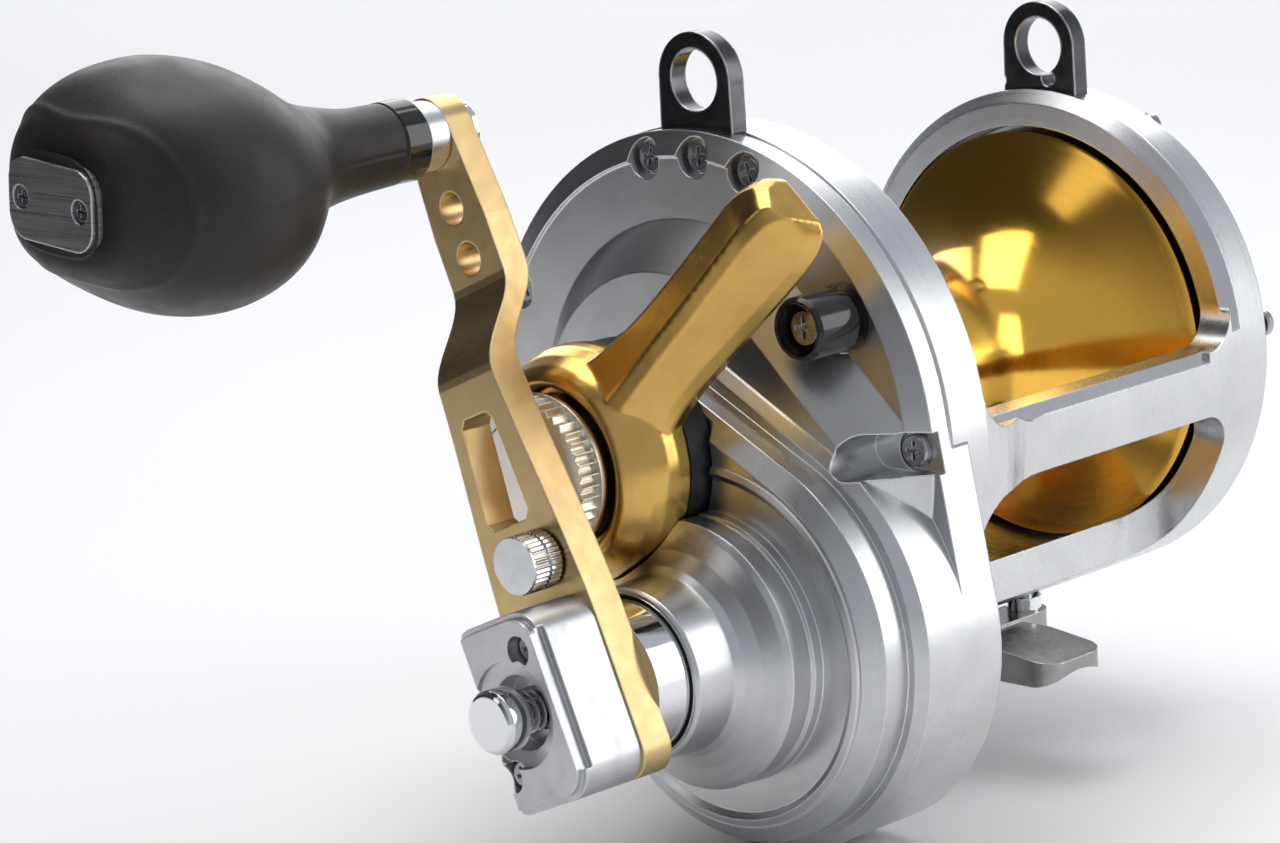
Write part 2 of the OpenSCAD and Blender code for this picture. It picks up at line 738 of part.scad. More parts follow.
module arm_side() {
    polygon(concat(
        [[arm_low_x, -arm_foot - 1], [arm_low_x + arm_low_t, -arm_foot - 1]],
        [for (i = [0:bend_steps]) let (t = i / bend_steps)
            [arm_low_x + arm_low_t + (arm_top_x + arm_top_t - arm_low_x - arm_low_t) * ease(t),
                bend_low + (bend_high - bend_low) * t]],
        [[arm_top_x + arm_top_t, crank_len + 9], [arm_top_x, crank_len + 9]],
        [for (i = [bend_steps:-1:0]) let (t = i / bend_steps)
            [arm_low_x + (arm_top_x - arm_low_x) * ease(t), bend_low + 0.6 + (bend_high - bend_low) * t]]
    ));
}

module handle_arm() {
    color(champagne) at_axis() difference() {
        intersection() {
            on_arm(arm_top_x - 1, block_x + 1) arm_outline();
            at_drive() rotate([crank_lean, 0, 0]) translate([0, 10, 0]) rotate([90, 0, 0])
                linear_extrude(20) arm_side();
        }
        at_arm(0, 0) ring(arm_low_x - 1, block_x + 1, drive_r);
        at_arm(release_u, release_v) ring(block_x - 4, block_x + 1, 1.7);
        for (v = [61.4, 68.7]) at_arm(-0.3, v) ring(arm_top_x - 1, block_x + 1, 2.35);
        at_arm(0, crank_len) ring(arm_top_x - 1, block_x + 1, 2.5);
    }
}

module clutch_block() {
    color(silver) at_axis() difference() {
        intersection() {
            union() {
                on_arm(block_x, block_x + block_t - 1) round_rect([-block_rear, block_v0], [block_half, block_v1], 4.5);
                on_arm(block_x + block_t - 1 - eps, block_x + block_t)
                    round_rect([-block_rear + 0.8, block_v0 + 0.8], [block_half - 0.8, block_v1 - 0.8], 3.8);
            }
            // broad bevel down the rear side
            at_drive() rotate([crank_lean, 0, 0]) translate([0, 0, -20]) linear_extrude(40) polygon([
                [block_x, -20], [block_x, 20], [block_x + block_t, 20], [block_x + block_t, -block_rear + 3],
                [block_x + block_t - 4.5, -block_rear], [block_x + block_t - 4.5, -20]
            ]);
        }
        // stepped well around the push button
        at_arm(0, 0) {
            lathe([
                [0, block_x + 6.6], [5.2, block_x + 6.6], [5.2, block_x + block_t - 1.6], [7.4, block_x + block_t - 1],
                [7.4, block_x + block_t + 1], [0, block_x + block_t + 1]
            ]);
            ring(block_x + 1.6, block_x + 8, 2.2);
        }
        at_arm(0, 0) ring(block_x - 1, block_x + 2, drive_r - 1);
        // shallow groove beside the front edge
        on_arm(block_x + block_t - 2.2, block_x + block_t + 1) translate([block_half - 0.9, -9.8]) square([2, 19.8]);
        for (p = block_screw) at_arm(p[0], p[1]) {
            ring(block_x - 1, block_x + block_t + 1, 1.15);
            ring(block_x + block_t - 3.4, block_x + block_t + 1, 2.1);
        }
    }
}

module block_screws() {
    color(chrome) at_axis() for (p = block_screw) at_arm(p[0], p[1]) {
        translate([block_x + block_t - 2, 0, 0]) screw_x(1.95, 1.4, 1.1, 7);
    }
}

module shift_button() {
    color(chrome) at_axis() at_arm(0, 0) lathe([
        [0, high_gear_x + 2], [1.9, high_gear_x + 2], [1.9, button_face - 4.2], [4, button_face - 4.2],
        [4.4, button_face - 3.7], [4.4, button_face - 0.7], [4.1, button_face - 0.25], [3.7, button_face],
        [0, button_face]
    ]);
}

module shift_spring() {
    color(steel) at_axis() at_arm(0, 0) translate([block_x + 6.8, 0, 0]) rotate([0, 90, 0])
        linear_extrude(button_face - 4.3 - block_x - 6.8, twist = -4 * 360, slices = 96)
            translate([2.75, 0]) circle(0.4, $fn = 10);
}

// Finely ribbed band
module knurl(x0, x1, r, n, depth) {
    along_x(x0, x1) polygon([for (i = [0:2 * n - 1]) let (a = i * 180 / n, q = i % 2 == 0 ? r : r - depth)
        [q * cos(a), q * sin(a)]]);
}

module release_knob() {
    color(chrome) at_axis() at_arm(release_u, release_v) {
        knurl(block_x + 0.4, block_x + 2.3, 4.1, 36, 0.22);
        ring(block_x + 2.2, block_x + 2.9, 3.6);
        knurl(block_x + 2.8, block_x + 5.2, 4.1, 36, 0.22);
        ring(block_x + 5.1, block_x + 5.6, 3.95);
        ring(block_x - 3, block_x + 1, 1.4);
    }
}

// ---------- knob ----------

module knob_axle() {
    color(steel) at_axis() at_arm(0, crank_len) {
        ring(arm_top_x - 1.6, knob_x + 58, 2.5);
    }
}

module axle_nut() {
    color(chrome) at_axis() at_arm(0, crank_len) soft_ring(arm_top_x - 1.6, arm_top_x, 4.4, 2.5, 0.4);
}

module knob_collar() {
    color(steel) at_axis() at_arm(0, crank_len) soft_ring(knob_x, knob_x + 3.7, 4.9, 2.5, 0.2);
}

module knob_ring() {
    color(dark) at_axis() at_arm(0, crank_len) soft_ring(knob_x + 4, grip_x, 5.8, 2.9, 0.4);
}

// Sections along the grip: station, half width, height above the axle, depth below it
grip_stations = [
    [0, 5.8, 5.7, 5.8], [6, 5.9, 5.9, 6.2], [11, 6.6, 6.8, 6.8], [15, 8, 7.8, 7.8], [18.5, 11, 9.2, 9.8],
    [22, 14.6, 11.2, 12.6], [26, 18, 13.6, 15], [30.5, 20.2, 15.8, 16.4], [35, 21, 17.1, 16.9],
    [39.5, 20.9, 17.6, 16.4], [44, 19.6, 17, 15], [48, 17.4, 15.4, 12.8], [51.5, 14.4, 13, 10.4],
    [54.2, 11.4, 10.4, 8], [56, 9, 7.8, 5.8]
];
function grip_ring(s) = [for (i = [0:grip_sides - 1])
    let (a = i * 360 / grip_sides, w = s[1] * grip_half_w / 21, h = (sin(a) > 0 ? s[2] : s[3]) * grip_r / 17.4)
    [grip_x + s[0], w * cos(a), h * sin(a)]];

module grip_body() {
    rings = len(grip_stations);
    polyhedron(
        points = [for (s = grip_stations) each grip_ring(s)],
        faces = concat(
            [[for (i = [grip_sides - 1:-1:0]) i]],
            [[for (i = [0:grip_sides - 1]) (rings - 1) * grip_sides + i]],
            [for (k = [0:rings - 2]) for (i = [0:grip_sides - 1])
                [k * grip_sides + i, k * grip_sides + (i + 1) % grip_sides,
                    (k + 1) * grip_sides + (i + 1) % grip_sides, (k + 1) * grip_sides + i]]
        )
    );
}

module grip_knob() {
    color([0.16, 0.15, 0.15]) at_axis() at_drive() rotate([crank_lean, 0, 0]) translate([0, 0, crank_len])
        rotate([grip_turn, 0, 0]) difference() {
            grip_body();
            ring(grip_x - 1, grip_x + grip_len - 5, 4.2);
            along_x(grip_x + grip_len - 1.2, grip_x + grip_len + 1) end_plate_outline(0.05);
        }
}

module at_knob() { at_arm(0, crank_len) rotate([grip_turn, 0, 0]) children(); }

module end_plate_outline(grow) {
    translate([0, plate_rise]) round_rect([-plate_half_w - grow, -plate_half_h - grow],
        [plate_half_w + grow, plate_half_h + grow], 3.4);
}

module knob_end_plate() {
    color(chrome) at_axis() at_knob() difference() {
        along_x(grip_x + grip_len - 1.2, grip_x + grip_len + 0.6) end_plate_outline(0);
        for (y = [-6, 6]) translate([0, y, plate_rise]) {
            ring(grip_x + grip_len - 0.6, grip_x + grip_len + 1, 1.6);
            ring(grip_x + grip_len - 2, grip_x + grip_len, 0.55);
        }
    }
}

module end_plate_screws() {
    color(steel) at_axis() at_knob() for (y = [-6, 6]) translate([grip_x + grip_len + 0.2, y, plate_rise]) {
        screw_x(1.5, 0.8, 0.5, 0.5);
    }
}

module knob_bearings() {
    color(steel) at_axis() at_arm(0, crank_len) {
        bearing(grip_x + 2, grip_x + 5, 4.2, 2.5 + fit);
        bearing(grip_x + 42, grip_x + 45, 4.2, 2.5 + fit);
    }
}

// ---------- drag lever ----------

// Lever coordinates: p across the lever towards the rod tip, s outwards from the spool axis
module on_lever() { rotate([-lever_lean, 0, 0]) children(); }

// Each station: distance from the axis, then the (p, x) corners of its section
function lever_section(s, back, ridge, front, rear_x, ridge_x, mid_x, low_x) = [
    [low_x, back - 0.4, s], [low_x, front, s], [mid_x, front - 0.6, s], [ridge_x, ridge, s],
    [rear_x, back + 0.6, s], [rear_x - 3, back, s]
];

lever_stations = [
    lever_section(8, -9, 2, 9.5, hub_x + 8.6, hub_x + 10.4, hub_x + 6.4, hub_x),
    lever_section(16, -7.2, 0.8, 7.4, hub_x + 6.8, hub_x + 8.8, hub_x + 4.4, hub_x - 1.6),
    lever_section(24, -6.6, 0.2, 6.4, hub_x + 4.6, hub_x + 7, hub_x + 2.2, hub_x - 4.2),
    lever_section(34, -6.8, -0.2, 6.6, hub_x + 2.2, hub_x + 5, hub_x - 0.6, hub_x - 5.6),
    lever_section(42, -7, -0.4, 7, hub_x + 0.6, hub_x + 3.6, hub_x - 2.2, hub_x - 6.6),
    lever_section(lever_len - 2.6, -6.6, -0.4, 6.8, hub_x, hub_x + 2.8, hub_x - 3, hub_x - 6.4),
    lever_section(lever_len, -4.6, 0, 5.2, hub_x - 1.2, hub_x + 1, hub_x - 3.4, hub_x - 5.6)
];

module lever_body() {
    k = 6;
    n = len(lever_stations);
    polyhedron(
        points = [for (s = lever_stations) each s],
        faces = concat(
            [[for (i = [k - 1:-1:0]) i]],
            [[for (i = [0:k - 1]) (n - 1) * k + i]],
            [for (j = [0:n - 2]) for (i = [0:k - 1]) each [
                [j * k + i, j * k + (i + 1) % k, (j + 1) * k + i],
                [j * k + (i + 1) % k, (j + 1) * k + (i + 1) % k, (j + 1) * k + i]]]
        )
    );
}

module drag_lever() {
    color(gold) at_axis() difference() {
        union() {
            lathe([
                [0, hub_x], [15.8, hub_x], [16.6, hub_x + 0.8], [16.6, hub_x + 4.6], [16, hub_x + 7],
                [14.8, hub_x + 9.2], [13.4, hub_face_x - 0.5], [12.6, hub_face_x], [0, hub_face_x]
            ]);
            on_lever() lever_body();
        }
        ring(hub_x + 6, hub_face_x + 1, 11.9);
        ring(hub_x - 7, hub_x + 7, 6.7);
        // room for the liner and the cover's neck
        ring(hub_x - 7, hub_x, 16.25);
    }
}

module lever_liner() {
    color(dark) at_axis() ring(hub_x - 4.6, hub_x - 0.05, 16.2, 12.9);
}

module preset_knob() {
    color([0.7, 0.66, 0.6]) at_axis() difference() {
        union() {
            lathe([
                [0, hub_x + 6.4], [10.8, hub_x + 6.4], [10.8, hub_face_x], [11.5, hub_face_x + 0.8],
                [11.5, hub_face_x + 1.6], [0, hub_face_x + 1.6]
            ]);
            knurl(hub_face_x + 1.5, hub_face_x + 5, 11.3, 44, 0.7);
        }
        ring(hub_x + 5, hub_face_x + 6, shaft_r + fit);
        ring(hub_face_x + 3.6, hub_face_x + 6, 8.4);
    }
}

module preset_cap() {
    color(chrome) at_axis() soft_ring(hub_face_x + 4.62, hub_face_x + 5.6, 8.4, 0, 0.3);
}

frame();
left_plate();
bearing_plate();
side_cover();
cover_screws();
left_screws();
left_lug();
right_lug();
reel_foot();
foot_spacers();
foot_screws();
boss_seal();
drive_bearings();
shaft_bearings();
spool_shaft();
fixed_cam();
drag_spring();
clicker_tongue();
clicker_button();
anti_reverse_pawl();
pawl_pin();
strike_button();
strike_button_screw();
drag_lever();
lever_liner();
moving_cam();
preset_knob();
preset_cap();
spool();
spool_bearings();
drag_disc();
drag_washer();
clicker_gear();
high_pinion();
low_pinion();
drive_shaft();
high_main_gear();
ratchet_wheel();
shaft_collar();
handle_arm();
clutch_block();
block_screws();
knob_axle();
axle_nut();
knob_collar();
low_main_gear();
shift_button();
shift_spring();
release_knob();
grip_knob();
knob_ring();
knob_end_plate();
end_plate_screws();
knob_bearings();
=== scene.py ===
"""Two-speed lever-drag trolling reel: finish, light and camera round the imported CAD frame.

Lengths are metres in the row frame: X along the spool towards the handle, Y towards the rod tip, Z up.
"""

import math

import bmesh
import bpy
from mathutils import Matrix, Vector


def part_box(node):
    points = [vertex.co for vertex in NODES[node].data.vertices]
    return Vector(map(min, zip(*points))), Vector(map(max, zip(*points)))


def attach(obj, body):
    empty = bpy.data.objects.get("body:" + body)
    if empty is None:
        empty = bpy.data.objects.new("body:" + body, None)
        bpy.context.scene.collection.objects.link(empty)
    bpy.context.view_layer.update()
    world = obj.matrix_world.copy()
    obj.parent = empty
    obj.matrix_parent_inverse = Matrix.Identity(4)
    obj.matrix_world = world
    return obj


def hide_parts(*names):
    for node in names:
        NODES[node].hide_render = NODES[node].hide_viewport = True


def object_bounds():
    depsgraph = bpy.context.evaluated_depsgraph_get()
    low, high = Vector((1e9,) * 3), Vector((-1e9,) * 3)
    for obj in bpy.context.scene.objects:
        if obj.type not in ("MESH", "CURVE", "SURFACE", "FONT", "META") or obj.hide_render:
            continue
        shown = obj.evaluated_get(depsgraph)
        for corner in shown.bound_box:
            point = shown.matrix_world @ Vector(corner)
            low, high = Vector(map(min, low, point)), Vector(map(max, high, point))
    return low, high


MM = 0.001

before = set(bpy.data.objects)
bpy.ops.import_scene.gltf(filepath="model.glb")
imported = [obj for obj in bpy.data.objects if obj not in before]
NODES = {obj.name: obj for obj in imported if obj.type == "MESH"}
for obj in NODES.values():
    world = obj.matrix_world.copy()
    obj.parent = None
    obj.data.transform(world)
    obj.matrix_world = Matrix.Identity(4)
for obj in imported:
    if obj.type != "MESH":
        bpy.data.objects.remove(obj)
size_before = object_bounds()


def centre(node):
    low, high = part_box(node)
    return (low + high) / 2


SPOOL_AXIS = centre("spool_shaft")
DRIVE_AXIS = centre("drive_shaft")
MIDDLE = (size_before[0] + size_before[1]) / 2


# ---------------------------------------------------------------- shader helpers


class Surface:
    """A Principled material that grows one node at a time."""

    def __init__(self, name, **sockets):
        self.material = bpy.data.materials.new(name)
        self.material.use_nodes = True
        self.tree = self.material.node_tree
        self.shader = self.tree.nodes["Principled BSDF"]
        for socket, value in sockets.items():
            self.shader.inputs[socket.replace("_", " ")].default_value = value
        self.position = self.add("ShaderNodeTexCoord").outputs["Object"]
        self.normal = None

    def add(self, kind, inputs=None, **settings):
        """A new node; an input is either another node's socket or a plain value."""
        node = self.tree.nodes.new(kind)
        for name, value in settings.items():
            setattr(node, name, value)
        for socket, value in (inputs or {}).items():
            if isinstance(value, bpy.types.NodeSocket):
                self.tree.links.new(value, node.inputs[socket])
            else:
                node.inputs[socket].default_value = value
        return node

    def drive(self, socket, value):
        self.tree.links.new(value, self.shader.inputs[socket])

    def scaled(self, vector, scale):
        """The vector times a per-axis scale, in cycles per metre."""
        return self.add("ShaderNodeVectorMath", {0: vector, 1: scale}, operation="MULTIPLY").outputs[0]

    def noise(self, size, vector=None, detail=3.0, rough=0.55):
        """Grey noise whose blotches are about `size` metres across."""
        inputs = {"Vector": vector or self.position, "Scale": 1 / size, "Detail": detail, "Roughness": rough}
        return self.add("ShaderNodeTexNoise", inputs).outputs["Fac"]

    def spread(self, value, low, high, start=0.3, end=0.7):
        """Maps the useful middle of a noise to a range."""
        inputs = {"Value": value, "From Min": start, "From Max": end, "To Min": low, "To Max": high}
        return self.add("ShaderNodeMapRange", inputs).outputs["Result"]

    def blend(self, factor, first, second):
        """Colour mix; either colour may be a socket or a plain triple."""
        node = self.add("ShaderNodeMix", {0: factor}, data_type="RGBA")
        for slot, colour in ((6, first), (7, second)):
            if isinstance(colour, bpy.types.NodeSocket):
                self.tree.links.new(colour, node.inputs[slot])
            else:
                node.inputs[slot].default_value = (*colour, 1)
        return node.outputs[2]

    def round_edges(self, radius, samples=4):
        """Softens sharp edges, as a real part's broken edges do; returns how close a point is to an edge."""
        bevel = self.add("ShaderNodeBevel", {"Radius": radius}, samples=samples).outputs[0]
        self.normal = bevel
        true_normal = self.add("ShaderNodeNewGeometry").outputs["Normal"]
        match = self.add("ShaderNodeVectorMath", {0: bevel, 1: true_normal}, operation="DOT_PRODUCT")
        return self.spread(match.outputs["Value"], 1, 0, start=0.86, end=0.998)

    def bump(self, height, depth):
        """Adds relief `depth` metres deep on top of any normal so far."""
        inputs = {"Height": height, "Distance": depth, "Strength": 1.0}
        if self.normal is not None:
            inputs["Normal"] = self.normal
        self.normal = self.add("ShaderNodeBump", inputs).outputs["Normal"]

    def finish(self):
        if self.normal is not None:
            self.drive("Normal", self.normal)
        return self.material


def lathe_frame(surface, axis):
    """Vector from the X-parallel axis through a point, flattened onto the YZ plane."""
    shifted = surface.add(
        "ShaderNodeVectorMath", {0: surface.position, 1: (0, axis.y, axis.z)}, operation="SUBTRACT"
    ).outputs[0]
    return surface.scaled(shifted, (0, 1, 1))


def tool_marks(surface, axis, pitch):
    """Rings that a lathe leaves: noise that only varies with radius and with X."""
    out = lathe_frame(surface, axis)
    radius = surface.add("ShaderNodeVectorMath", {0: out}, operation="LENGTH").outputs["Value"]
    along = surface.add("ShaderNodeSeparateXYZ", {0: surface.position}).outputs["X"]
    rings = surface.add("ShaderNodeCombineXYZ", {"X": radius, "Y": along}).outputs[0]
    return surface.noise(pitch, rings, detail=2.0), out


def lay_tangent(surface, out):
    """Points the shader's grain round the axis."""
    tangent = surface.add(
        "ShaderNodeVectorMath", {0: (1.0, 0.0, 0.0), 1: out}, operation="CROSS_PRODUCT"
    ).outputs[0]
    unit = surface.add("ShaderNodeVectorMath", {0: tangent}, operation="NORMALIZE").outputs[0]
    surface.drive("Tangent", unit)


def metal(name, colour, rough, grain=0.25 * MM, depth=0.004 * MM, mottle=0.06, edge=0.3 * MM,
          edge_highlight_colour=None):
    """Solid metal with a fine blasted grain, uneven sheen and softened edges with a painted highlight along
    them.
    """
    surface = Surface(name, Metallic=1.0, Roughness=rough)
    near_edge = surface.round_edges(edge)
    cloud = surface.noise(6 * MM, detail=4.0)
    speck = surface.noise(grain, detail=2.0)
    darker = tuple(c * (1 - 1.6 * mottle) for c in colour)
    lighter = tuple(min(1.0, c * (1 + mottle)) for c in colour)
    tone = surface.blend(surface.spread(cloud, 0, 1), darker, lighter)
    # painted highlight: near the softened edges the colour turns lighter, to the given highlight colour or
    # else the lighter tone
    tone = surface.blend(near_edge, tone, edge_highlight_colour or lighter)
    surface.drive("Base Color", tone)
    surface.drive("Roughness", surface.spread(surface.noise(2.5 * MM), rough - 0.03, rough + 0.06))
    surface.bump(speck, depth)
    return surface


def turned_metal(name, colour, rough, axis, pitch=0.5 * MM, ring_depth=0.0006 * MM,
                 grain_depth=0.003 * MM, edge=0.3 * MM, **sockets):
    """Metal that was cut on a lathe about `axis`, then anodised; a zero `edge` leaves the edges sharp and
    without a painted highlight.
    """
    surface = Surface(name, Metallic=1.0, Roughness=rough, **sockets)
    near_edge = surface.round_edges(edge) if edge else None
    rings, out = tool_marks(surface, axis, pitch)
    cloud = surface.noise(9 * MM, detail=4.0)
    darker = tuple(c * 0.93 for c in colour)
    lighter = tuple(min(1.0, c * 1.05) for c in colour)
    tone = surface.blend(surface.spread(cloud, 0, 1), darker, lighter)
    # painted highlight: a lighter colour along the softened edges
    if near_edge:
        tone = surface.blend(near_edge, tone, tuple(min(1.0, c * 1.12) for c in colour))
    surface.drive("Base Color", tone)
    surface.drive("Roughness", surface.spread(rings, rough * 0.92, rough * 1.1))
    lay_tangent(surface, out)
    surface.bump(rings, ring_depth)
    surface.bump(surface.noise(0.22 * MM, detail=2.0), grain_depth)
    return surface


# ---------------------------------------------------------------- materials


def frame_silver():
    """Frame, rings and left plate: satin anodised over turning marks."""
    return turned_metal("frame_silver", (0.66, 0.665, 0.675), 0.27, SPOOL_AXIS, pitch=1.2 * MM,
                        ring_depth=0.0002 * MM, grain_depth=0.0015 * MM, Anisotropic=0.2).finish()


def cover_silver():
    """Side cover: lightly blasted, turned about the drive boss near it and about the spool elsewhere."""
    surface = Surface("cover_silver", Metallic=1.0, Roughness=0.27, Anisotropic=0.2)
    near_edge = surface.round_edges(0.35 * MM, samples=8)
    spool_rings, spool_out = tool_marks(surface, SPOOL_AXIS, 1.2 * MM)
    boss_rings, boss_out = tool_marks(surface, DRIVE_AXIS, 1.2 * MM)
    reach = surface.add("ShaderNodeVectorMath", {0: boss_out}, operation="LENGTH").outputs["Value"]
    on_boss = surface.spread(reach, 1, 0, start=25.8 * MM, end=26.4 * MM)
    ring_mix = surface.add("ShaderNodeMix", {0: on_boss, 2: spool_rings, 3: boss_rings}, data_type="FLOAT")
    rings = ring_mix.outputs[0]
    out_mix = surface.add("ShaderNodeMix", {0: on_boss, 4: spool_out, 5: boss_out}, data_type="VECTOR")
    out = out_mix.outputs[1]
    cloud = surface.noise(8 * MM, detail=4.0)
    tone = surface.blend(surface.spread(cloud, 0, 1), (0.60, 0.605, 0.615), (0.68, 0.685, 0.69))
    # painted highlight: a pale colour along the softened edges
    surface.drive("Base Color", surface.blend(near_edge, tone, (0.9, 0.9, 0.91)))
    surface.drive("Roughness", surface.spread(rings, 0.27, 0.30))
    lay_tangent(surface, out)
    surface.bump(rings, 0.0002 * MM)
    surface.bump(surface.noise(0.3 * MM, detail=3.0), 0.003 * MM)
    return surface.finish()


def spool_gold():
    """Spool: mirror-turned orange gold."""
    return turned_metal(
        "spool_gold", (0.95, 0.53, 0.085), 0.15, SPOOL_AXIS, pitch=0.8 * MM, ring_depth=0.0004 * MM,
        grain_depth=0.0006 * MM, edge=0, Anisotropic=0.6,
    ).finish()


def lever_gold():
    """Drag lever: satin gold with a silky grain and a painted highlight along its ridges."""
    return metal(
        "lever_gold", (0.72, 0.45, 0.125), 0.22, grain=0.3 * MM, depth=0.003 * MM, edge=0.4 * MM,
        edge_highlight_colour=(1.0, 0.84, 0.5),
    ).finish()


def arm_gold():
    """Handle arm: blasted champagne gold with a painted highlight along its softened edges."""
    return metal(
        "arm_gold", (0.66, 0.475, 0.23), 0.33, grain=0.22 * MM, depth=0.008 * MM, edge=0.35 * MM,
        edge_highlight_colour=(1.0, 0.84, 0.52), mottle=0.04,
    ).finish()


def blasted_silver():
    """Clutch block: bead-blasted silver with a painted highlight along its edges."""
    return metal("blasted_silver", (0.62, 0.625, 0.635), 0.36, grain=0.25 * MM, depth=0.010 * MM,
                 edge_highlight_colour=(0.95, 0.95, 0.96)).finish()


def black_chrome():
    """Harness lugs: black chrome with a painted highlight along the edges."""
    return metal("black_chrome", (0.10, 0.10, 0.105), 0.2, grain=0.4 * MM, depth=0.002 * MM, edge=0.5 * MM,
                 edge_highlight_colour=(0.92, 0.92, 0.93), mottle=0.12).finish()


def screw_chrome():
    """Screws: bright steel with dark drive recesses and a painted highlight along the edges."""
    return metal("screw_chrome", (0.42, 0.42, 0.44), 0.17, grain=0.3 * MM, depth=0.002 * MM, edge=0.15 * MM,
                 edge_highlight_colour=(0.95, 0.95, 0.96), mottle=0.12).finish()


def mirror_chrome():
    """Collar, shift button and spacers: mirror chrome with faint handling haze."""
    surface = Surface("mirror_chrome", Metallic=1.0, Roughness=0.05, Base_Color=(0.86, 0.865, 0.875, 1))
    near_edge = surface.round_edges(0.25 * MM)
    haze = surface.noise(5 * MM, detail=5.0)
    surface.drive("Roughness", surface.spread(haze, 0.035, 0.09))
    # painted highlight: a lighter colour along the softened edges
    surface.drive("Base Color", surface.blend(near_edge, (0.82, 0.825, 0.835), (0.95, 0.95, 0.96)))
    surface.bump(surface.noise(1.2 * MM), 0.0008 * MM)
    return surface.finish()


def warm_nickel():
    """Preset knob: ribbed warm nickel."""
    return turned_metal("warm_nickel", (0.74, 0.70, 0.62), 0.2, SPOOL_AXIS, Anisotropic=0.3).finish()


def knurled_steel():
    """Release knob: turned steel with fine knurling and a painted highlight along the edges."""
    return metal("knurled_steel", (0.68, 0.69, 0.70), 0.2, grain=0.2 * MM, depth=0.003 * MM, edge=0.12 * MM,
                 edge_highlight_colour=(0.95, 0.95, 0.96)).finish()


def brushed_nickel():
    """End plate: nickel brushed across its width."""
    surface = Surface("brushed_nickel", Metallic=1.0, Roughness=0.3, Anisotropic=0.6)
    near_edge = surface.round_edges(0.3 * MM)
    lines = surface.noise(1.0, surface.scaled(surface.position, (300, 60, 7000)), detail=4.0)
    tone = surface.blend(surface.spread(lines, 0, 1), (0.52, 0.51, 0.50), (0.66, 0.655, 0.65))
    # painted highlight: a near-white colour along the softened edges
    surface.drive("Base Color", surface.blend(near_edge, tone, (0.96, 0.95, 0.94)))
    surface.drive("Roughness", surface.spread(lines, 0.24, 0.4))
    surface.bump(lines, 0.004 * MM)
    return surface.finish()


def polished_casting():
    """Reel foot: darker polished casting with a slight ripple and a painted highlight along the edges."""
    surface = metal("polished_casting", (0.36, 0.35, 0.345), 0.24, grain=0.5 * MM, depth=0.004 * MM,
                    mottle=0.12, edge_highlight_colour=(0.8, 0.8, 0.8))
    surface.bump(surface.noise(5 * MM, detail=1.0), 0.12 * MM)
    return surface.finish()


def ground_steel():
    """Shafts, cams, bearings and other inner steel."""
    return metal("ground_steel", (0.60, 0.61, 0.63), 0.27, grain=0.4 * MM, depth=0.003 * MM).finish()


def gear_brass():
    """Gears: machined brass, a little tarnished."""
    surface = metal("gear_brass", (0.73, 0.60, 0.33), 0.27, grain=0.4 * MM, depth=0.004 * MM, mottle=0.12)
    return surface.finish()


def grip_rubber():
    """Grip: soft-touch charcoal rubber with a fine sandy skin and faint handling marks."""
    surface = Surface("grip_rubber", Roughness=0.5)
    surface.shader.inputs["Specular IOR Level"].default_value = 0.32
    cloud = surface.noise(14 * MM, detail=5.0)
    tone = surface.blend(surface.spread(cloud, 0, 1), (0.020, 0.016, 0.014), (0.034, 0.028, 0.025))
    speck = surface.noise(0.28 * MM, detail=3.0)
    tone = surface.blend(surface.spread(speck, 0, 0.35, start=0.5, end=0.75), tone, (0.06, 0.052, 0.048))
    surface.drive("Base Color", tone)
    surface.drive("Roughness", surface.spread(surface.noise(5 * MM, detail=4.0), 0.38, 0.52))
    surface.bump(surface.noise(0.35 * MM, detail=4.0), 0.025 * MM)
    surface.bump(surface.noise(2.5 * MM), 0.02 * MM)
    return surface.finish()


def black_moulding(name, low, high, rough, grain):
    """Black moulded piece between two grey levels; `rough` sets its gloss and `grain` the skin's depth."""
    surface = Surface(name, Roughness=rough)
    surface.round_edges(0.25 * MM)
    cloud = surface.noise(3 * MM, detail=4.0)
    tone = surface.blend(surface.spread(cloud, 0, 1), (low, low, low), (high, high, high))
    surface.drive("Base Color", tone)
    surface.drive("Roughness", surface.spread(surface.noise(2 * MM), rough * 0.8, rough * 1.2))
    surface.bump(surface.noise(0.4 * MM), grain)
    return surface.finish()


def stage_white():
    """Plain pale floor."""
    surface = Surface("stage_white", Roughness=0.75)
    surface.shader.inputs["Specular IOR Level"].default_value = 0.1
    cloud = surface.noise(0.4, detail=2.0)
    tone = surface.blend(surface.spread(cloud, 0, 1), (0.88, 0.88, 0.885), (0.9, 0.9, 0.9))
    surface.drive("Base Color", tone)
    return surface.finish()


def finishes():
    """Every material slot of the record and the material it gets."""
    return {
        "satin_silver": frame_silver(),
        "blasted_silver": blasted_silver(),
        "dark_chrome": screw_chrome(),
        "chrome": mirror_chrome(),
        "nickel": warm_nickel(),
        "satin_nickel": brushed_nickel(),
        "knurled_steel": knurled_steel(),
        "cast_silver": polished_casting(),
        "steel": ground_steel(),
        "gear_brass": gear_brass(),
        "bright_gold": spool_gold(),
        "satin_gold": lever_gold(),
        "champagne_gold": arm_gold(),
        "grip_rubber": grip_rubber(),
        "black_rubber": black_moulding("black_rubber", 0.012, 0.022, 0.6, 0.01 * MM),
        "black_plastic": black_moulding("black_plastic", 0.012, 0.02, 0.4, 0.006 * MM),
        "gloss_black": black_moulding("gloss_black", 0.010, 0.016, 0.09, 0.001 * MM),
    }


# ---------------------------------------------------------------- mesh helpers


def new_object(name, mesh, body, slot, material, *nodes):
    """Puts a finished mesh on a body in place of some CAD nodes."""
    piece = bpy.data.objects.new(name, mesh)
    bpy.context.scene.collection.objects.link(piece)
    mesh.materials.append(material)
    for polygon in mesh.polygons:
        polygon.use_smooth = True
    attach(piece, body)
    if nodes:
        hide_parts(*nodes)
    return piece


